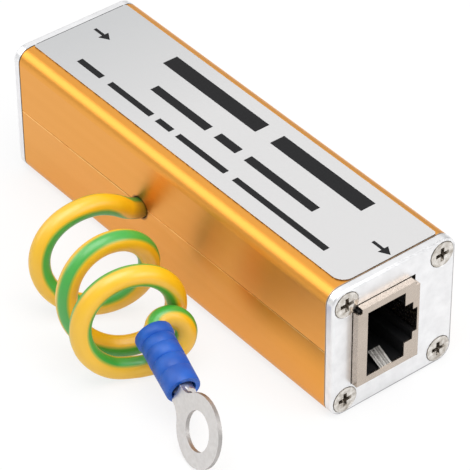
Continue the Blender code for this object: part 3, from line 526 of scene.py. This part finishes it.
def label_film():
    """Silver film with painted shade that darkens it a little towards the incoming end."""
    material, tree, surface = new_material("label_film", FILM_SHADE_COLOURS[1])
    # Painted shade towards the incoming end
    along = remapped(tree, axes(tree, "Object")["X"], FILM_SHADE_CHANGE[0] * MM, FILM_SHADE_CHANGE[1] * MM, 0.0, 1.0)
    tree.links.new(blended(tree, along, *FILM_SHADE_COLOURS), surface.inputs["Base Color"])
    gritty(tree, surface, scale=900, roughness=(0.34, 0.46), depth=0.003, detail=3.0)
    return material


def striped_insulation():
    """Yellow insulation with two green stripes that follow the lead's own stripe attribute, and painted shade
    near the hole.
    """
    material, tree, surface = new_material("lead_insulation", YELLOW)
    surface.inputs["Specular IOR Level"].default_value = 1.0
    stripe = tree.nodes.new("ShaderNodeAttribute")
    stripe.attribute_name = "stripe"
    green = remapped(tree, size_of(tree, stripe.outputs["Fac"]), *STRIPE_EDGE, 0.0, 1.0)
    colour = blended(tree, green, YELLOW, GREEN)
    # Painted shade on the lead next to its hole
    shade = remapped(tree, from_exit(tree), EXIT_REACH[0] * MM, EXIT_REACH[1] * MM, EXIT_SHADE, 0.0)
    tree.links.new(blended(tree, shade, colour, EXIT_SHADE_COLOUR), surface.inputs["Base Color"])
    gritty(tree, surface, scale=1500, roughness=(0.33, 0.41), depth=0.01)
    return material


def terminal_frame():
    """Return the terminal's place in metres."""
    turn = (Matrix.Rotation(math.radians(TERMINAL_HEADING), 4, "Z")
            @ Matrix.Rotation(math.radians(TERMINAL_SLOPE), 4, "Y")
            @ Matrix.Rotation(math.radians(TERMINAL_ROLL), 4, "X"))
    upright = turn.col[2].z
    height = RING_RADIUS * math.sqrt(1 - upright ** 2) + STRIP_HALF * abs(upright) + TABLE_GAP
    return Matrix.Translation(Vector((*RING_PLACE, height)) * MM) @ turn


def on_barrel(reach):
    """Return the point in metres at some reach from the ring on the barrel's axis."""
    return terminal_frame() @ (Vector((-reach, 0, -BARREL_OFFSET)) * MM)


def between(values, share):
    """Return the smooth value at a share of the way along evenly spaced values."""
    place = share * (len(values) - 1)
    number = min(int(place), len(values) - 2)
    part = place - number
    ends = (2 * values[0] - values[1], *values, 2 * values[-1] - values[-2])
    a, b, c, d = ends[number:number + 4]
    return b + part * (c - a + part * (2 * a - 5 * b + 4 * c - d + part * (3 * (b - c) + d - a))) / 2


def coil_point(turns):
    """Return the lead's centre after some turns of the coil, in millimetres."""
    share = turns / COIL_TURNS
    heading = math.radians(COIL_HEADING)
    ahead = Vector((math.cos(heading), math.sin(heading), 0))
    aside = Vector((math.sin(heading), -math.cos(heading), 0))
    angle = math.radians(COIL_PHASE) + math.tau * turns
    sideways = between(COIL_HALF_WIDTH, share) * math.sin(angle) + between(COIL_SIDESTEP, share)
    height = between(COIL_HALF_HEIGHT, share) * (1 + math.cos(angle)) + LEAD_RADIUS + TABLE_GAP
    return Vector((*COIL_START, height)) + ahead * between(COIL_ADVANCE, share) + aside * sideways


def refined(points):
    """Return a route with a smooth halfway point between each two neighbours."""
    ends = [points[0] * 2 - points[1], *points, points[-1] * 2 - points[-2]]
    route = []
    for a, b, c, d in zip(ends, ends[1:], ends[2:], ends[3:]):
        route += [b, ((b + c) * 9 - a - d) / 16]
    return route + [points[-1]]


def lead_route():
    """Return the lead's centre line in metres, from the board into the terminal."""
    step = (LEAD_EXIT[1] - LEAD_INNER_END) / (STRAIGHT_POINTS - 1)
    straight = [Vector((LEAD_EXIT[0], LEAD_INNER_END + step * number, LEAD_EXIT[2])) * MM
                for number in range(STRAIGHT_POINTS)]
    straight += [Vector(point) * MM for point in FIRST_POINTS]
    last = round(COIL_TURNS * POINTS_PER_TURN)
    coil = [coil_point(COIL_TURNS * number / last) * MM for number in range(FIRST_COIL_POINT, last + 1)]
    hook = [coil[-1], *(Vector(point) * MM for point in HOOK_POINTS), on_barrel(SLEEVE_END - HOOK_INSET)]
    route = straight + coil[:-1] + refined(hook) + [on_barrel(LEAD_END)]
    for _ in range(ROUTE_REFINEMENTS):
        route = refined(route)
    return route


def route_tube(route, radius, roundness):
    """Return a welded bmesh of a round wire along a route."""
    curve = bpy.data.curves.new("route", "CURVE")
    curve.dimensions = "3D"
    curve.bevel_depth = radius * MM
    curve.bevel_resolution = roundness
    curve.use_fill_caps = True
    spline = curve.splines.new("POLY")
    spline.points.add(len(route) - 1)
    for point, place in zip(spline.points, route):
        point.co = (*place, 1)
    item = bpy.data.objects.new("route", curve)
    bpy.context.scene.collection.objects.link(item)
    bpy.context.view_layer.update()
    mesh = bpy.data.meshes.new_from_object(item.evaluated_get(bpy.context.evaluated_depsgraph_get()))
    bpy.data.objects.remove(item)
    bm = bmesh.new()
    bm.from_mesh(mesh)
    bmesh.ops.remove_doubles(bm, verts=bm.verts, dist=ROUTE_WELD)
    return bm


def stripe_turn(share):
    """Return how far the stripes have turned about the lead at a share of its length."""
    for (low, start), (high, end) in zip(STRIPE_TURNS, STRIPE_TURNS[1:]):
        if share <= high:
            part = (share - low) / (high - low)
            return math.radians(start + (end - start) * part * part * (3 - 2 * part))
    return math.radians(STRIPE_TURNS[-1][1])


def earth_lead(material):
    """The striped lead; its stripe attribute is how squarely a point faces a stripe's middle."""
    route = lead_route()
    mesh = mesh_from("earth_lead_striped", route_tube(route, LEAD_RADIUS, LEAD_ROUNDNESS), ROUND_SHARP_ANGLE)
    lengths = [0.0]
    for a, b in zip(route, route[1:]):
        lengths.append(lengths[-1] + (b - a).length)
    facing = Vector((0, 0, 1))
    stripes = []
    before = (route[1] - route[0]).normalized()
    tree = KDTree(len(route))
    for number, place in enumerate(route):
        ahead = (route[min(number + 1, len(route) - 1)] - route[max(number - 1, 0)]).normalized()
        facing = before.rotation_difference(ahead) @ facing
        before = ahead
        turn = Matrix.Rotation(stripe_turn(lengths[number] / lengths[-1]), 3, ahead)
        stripes.append(turn @ facing)
        tree.insert(place, number)
    tree.balance()
    attribute = mesh.attributes.new("stripe", "FLOAT", "POINT")
    for vertex, value in zip(mesh.vertices, attribute.data):
        place, number, _ = tree.find(vertex.co)
        away = vertex.co - place
        value.value = away.normalized().dot(stripes[number]) if away.length > 1e-6 else 0.0
    item = piece_from("earth_lead_striped", mesh, material, "insulation", "earth_lead")
    return item, route, lengths[-1]


def terminal_sleeve(material):
    """The sleeve, turned about the barrel's axis: a flared rim, then creases where it was crimped."""
    bm = bmesh.new()
    points = [bm.verts.new(Vector((-reach, 0, radius)) * MM) for reach, radius in SLEEVE_PROFILE]
    edges = [bm.edges.new((a, b)) for a, b in zip(points, points[1:] + points[:1])]
    bmesh.ops.spin(bm, geom=points + edges, cent=(0, 0, 0), axis=(1, 0, 0), angle=math.tau,
                   steps=SLEEVE_STEPS, use_merge=True, use_duplicate=False)
    bmesh.ops.remove_doubles(bm, verts=bm.verts, dist=ROUTE_WELD)
    bmesh.ops.recalc_face_normals(bm, faces=bm.faces)
    offset = Matrix.Translation(Vector((0, 0, -BARREL_OFFSET)) * MM)
    bmesh.ops.transform(bm, matrix=terminal_frame() @ offset, verts=bm.verts)
    mesh = mesh_from("sleeve_formed", bm, ROUND_SHARP_ANGLE)
    return piece_from("sleeve_formed", mesh, material, "sleeve", "terminal_sleeve")


def conductor_strands(material):
    """A bundle of fine strands in the barrel, their ends staggered."""
    bm = bmesh.new()
    basis = terminal_frame()
    along = Matrix.Rotation(math.pi / 2, 4, "Y")
    places = [(radius, first + 360 * number / count)
              for radius, count, first in STRAND_RINGS for number in range(count)]
    for number, (radius, angle) in enumerate(places):
        start = BARREL_START + STRAND_INSET + STRAND_STAGGER * (number * 7 % 5)
        side = radius * math.cos(math.radians(angle))
        rise = radius * math.sin(math.radians(angle)) - BARREL_OFFSET
        middle = Matrix.Translation(Vector((-(start + BARREL_END) / 2, side, rise)) * MM)
        bmesh.ops.create_cone(bm, cap_ends=True, segments=8, radius1=STRAND_RADIUS * MM,
                              radius2=STRAND_RADIUS * MM, depth=(BARREL_END - start) * MM,
                              matrix=basis @ middle @ along)
    mesh = mesh_from("conductor_strands", bm)
    return piece_from("conductor_strands", mesh, material, "copper", "earth_conductor_outer")


def label_print_and_shade(material):
    """Plain bars and arrows printed on the label, and a dark line of painted shade along its incoming end."""
    low, high = (Vector(corner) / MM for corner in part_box("top_label"))
    bm = bmesh.new()

    def bar(start, end, across, height):
        middle = Vector(((start + end) / 2, across, high.z))
        size = Vector((end - start, height, INK_THICKNESS))
        matrix = Matrix.Translation(middle * MM) @ Matrix.Diagonal((*(size * MM), 1))
        bmesh.ops.create_cube(bm, size=1.0, matrix=matrix)

    def arrow(place, across):
        bar(place + ARROW_SHAFT[0], place + ARROW_SHAFT[1], across, ARROW_SHAFT_WIDTH)
        middle = Vector((place + ARROW_HEAD_PLACE, across, high.z))
        matrix = Matrix.Translation(middle * MM) @ Matrix.Rotation(-math.pi / 2, 4, "Z")
        bmesh.ops.create_cone(bm, cap_ends=True, segments=3, radius1=ARROW_HEAD_RADIUS * MM,
                              radius2=ARROW_HEAD_RADIUS * MM, depth=INK_THICKNESS * MM, matrix=matrix)

    # Painted shade along the label's incoming end, drawn as a line of ink
    bar(low.x, low.x + END_SHADE_LINE_WIDTH, (low.y + high.y) / 2, high.y - low.y - END_SHADE_LINE_MARGIN)
    for across, height, bars in BAR_ROWS:
        for start, end in bars:
            bar(start, end, across, height)
    for place, across in ARROWS:
        arrow(place, across)
    return piece_from("label_print_and_shade", mesh_from("label_print_and_shade", bm), material, "label")


def by_ray(tree, plain, glossy, camera):
    """Return a value with one amount for the camera, one for reflections and one for the rest."""
    path = tree.nodes.new("ShaderNodeLightPath")
    value = remapped(tree, path.outputs["Is Glossy Ray"], 0.0, 1.0, plain, glossy)
    node = tree.nodes.new("ShaderNodeMix")
    tree.links.new(path.outputs["Is Camera Ray"], node.inputs["Factor"])
    tree.links.new(value, node.inputs["A"])
    node.inputs["B"].default_value = camera
    return node.outputs["Result"]


def room_light():
    """White light from all round."""
    world = bpy.data.worlds.new("studio")
    bpy.context.scene.world = world
    world.use_nodes = True
    ambient = world.node_tree.nodes["Background"]
    ambient.inputs["Color"].default_value = (1, 1, 1, 1)
    world.node_tree.links.new(by_ray(world.node_tree, *AMBIENT), ambient.inputs["Strength"])


def white_floor():
    """A matt white floor that glows a little, so that the object's shadow on it stays pale."""
    bm = bmesh.new()
    bmesh.ops.create_grid(bm, x_segments=1, y_segments=1, size=FLOOR_HALF)
    floor = bpy.data.objects.new("floor", mesh_from("floor", bm))
    bpy.context.scene.collection.objects.link(floor)
    material, tree, surface = new_material("white_floor", FLOOR_COLOUR)
    surface.inputs["Roughness"].default_value = 0.9
    surface.inputs["Specular IOR Level"].default_value = 0.0
    glow = tree.nodes.new("ShaderNodeEmission")
    glow.inputs["Color"].default_value = (1, 1, 1, 1)
    glow.inputs["Strength"].default_value = 1.0
    mix = tree.nodes.new("ShaderNodeMixShader")
    tree.links.new(by_ray(tree, *FLOOR_GLOW), mix.inputs["Fac"])
    tree.links.new(surface.outputs["BSDF"], mix.inputs[1])
    tree.links.new(glow.outputs["Emission"], mix.inputs[2])
    tree.links.new(mix.outputs["Shader"], tree.nodes["Material Output"].inputs["Surface"])
    floor.data.materials.append(material)


def soft_box(name, place, size, power, gloss_only):
    """A square soft box that points at the body; some only make reflections."""
    lamp = bpy.data.lights.new(name, "AREA")
    lamp.shape = "SQUARE"
    lamp.size = size
    lamp.energy = power
    item = bpy.data.objects.new(name, lamp)
    bpy.context.scene.collection.objects.link(item)
    item.location = place
    item.rotation_euler = (Vector(LAMP_AIM) - Vector(place)).to_track_quat("-Z", "Y").to_euler()
    item.visible_diffuse = not gloss_only


def place_camera():
    """The camera at the photographed angle."""
    heading = math.radians(CAMERA_HEADING)
    height = math.radians(CAMERA_HEIGHT)
    away = Vector((math.sin(heading) * math.cos(height), -math.cos(heading) * math.cos(height),
                   math.sin(height)))
    level = Vector((math.cos(heading), math.sin(heading), 0))
    above = away.cross(level)
    roll = math.radians(CAMERA_ROLL)
    right = level * math.cos(roll) + above * math.sin(roll)
    up = above * math.cos(roll) - level * math.sin(roll)
    centre = (right * CAMERA_OFFSET[0] + up * CAMERA_OFFSET[1] + away * CAMERA_DISTANCE) * MM
    data = bpy.data.cameras.new("camera")
    data.sensor_width = CAMERA_SENSOR
    data.lens = CAMERA_LENS
    data.clip_start = CAMERA_NEAR * MM
    camera = bpy.data.objects.new("camera", data)
    bpy.context.scene.collection.objects.link(camera)
    camera.matrix_world = Matrix.Translation(centre) @ Matrix((right, up, away)).transposed().to_4x4()
    bpy.context.scene.camera = camera


# Frame, camera and studio
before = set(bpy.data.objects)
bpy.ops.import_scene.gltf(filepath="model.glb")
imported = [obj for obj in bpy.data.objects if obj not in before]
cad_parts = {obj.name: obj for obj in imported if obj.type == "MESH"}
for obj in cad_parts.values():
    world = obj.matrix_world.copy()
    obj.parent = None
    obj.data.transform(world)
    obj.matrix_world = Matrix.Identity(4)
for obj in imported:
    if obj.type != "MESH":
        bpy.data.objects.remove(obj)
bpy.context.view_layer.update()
bpy.context.scene.view_settings.view_transform = "Standard"
place_camera()
room_light()
white_floor()
for name, settings in LAMPS.items():
    soft_box(name, *settings)

# Body, plates, sockets and screws
gold = gold_anodised()
plate = plate_aluminium()
nickel = metal("nickel")
drawn = metal("drawn_spring")
bright = metal("screw_nickel")
dark = metal("painted_shade_and_glints")
refined_node("housing_lower", gold, "gold_anodised", LOWER_EDGE)
refined_node("housing_upper", gold, "gold_anodised", UPPER_EDGE)
for end in ("out", "in"):
    refined_node(f"end_plate_{end}", plate, "satin_plate", PLATE_EDGE)
    shade_faces(refined_node(f"jack_shield_{end}", nickel, "nickel", SHELL_EDGE), drawn, on_spring)
    for number in range(1, 5):
        screw = refined_node(f"end_screw_{end}_{number}", bright, "nickel", SCREW_EDGE)
        # Painted shade in the recess and on the chamfer of each screw head
        shade_faces(screw, dark, in_shade(f"end_screw_{end}_{number}"))

# Nodes that keep their shape, by how their names start
copper = metal("bare_copper")
black = plastic("black_moulding")
finishes = {
    "circuit_board": plastic("board_laminate"),
    "jack_insert": black,
    "jack_contact": metal("contact_gold"),
    "gas_tube": plastic("tube_ceramic"),
    "clamping_diode": black,
    "earth_conductor_inner": copper,
}
for node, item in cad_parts.items():
    for start, material in finishes.items():
        if node.startswith(start):
            assign(item, material)

# Ring terminal and label
terminal = refined_node("ring_terminal", metal("tinned_copper"), "nickel", TERMINAL_EDGE)
shade_faces(terminal, metal("cut_tin"), on_ring_edge)
# Painted shade on the label's cut edge
shade_faces(refined_node("top_label", label_film(), "label"), dark, on_label_edge)
label_print_and_shade(label_ink())

# Earth lead and what it carries
sleeve = terminal_sleeve(plastic("blue_vinyl"))
strands = conductor_strands(copper)
lead, route, lead_length = earth_lead(striped_insulation())
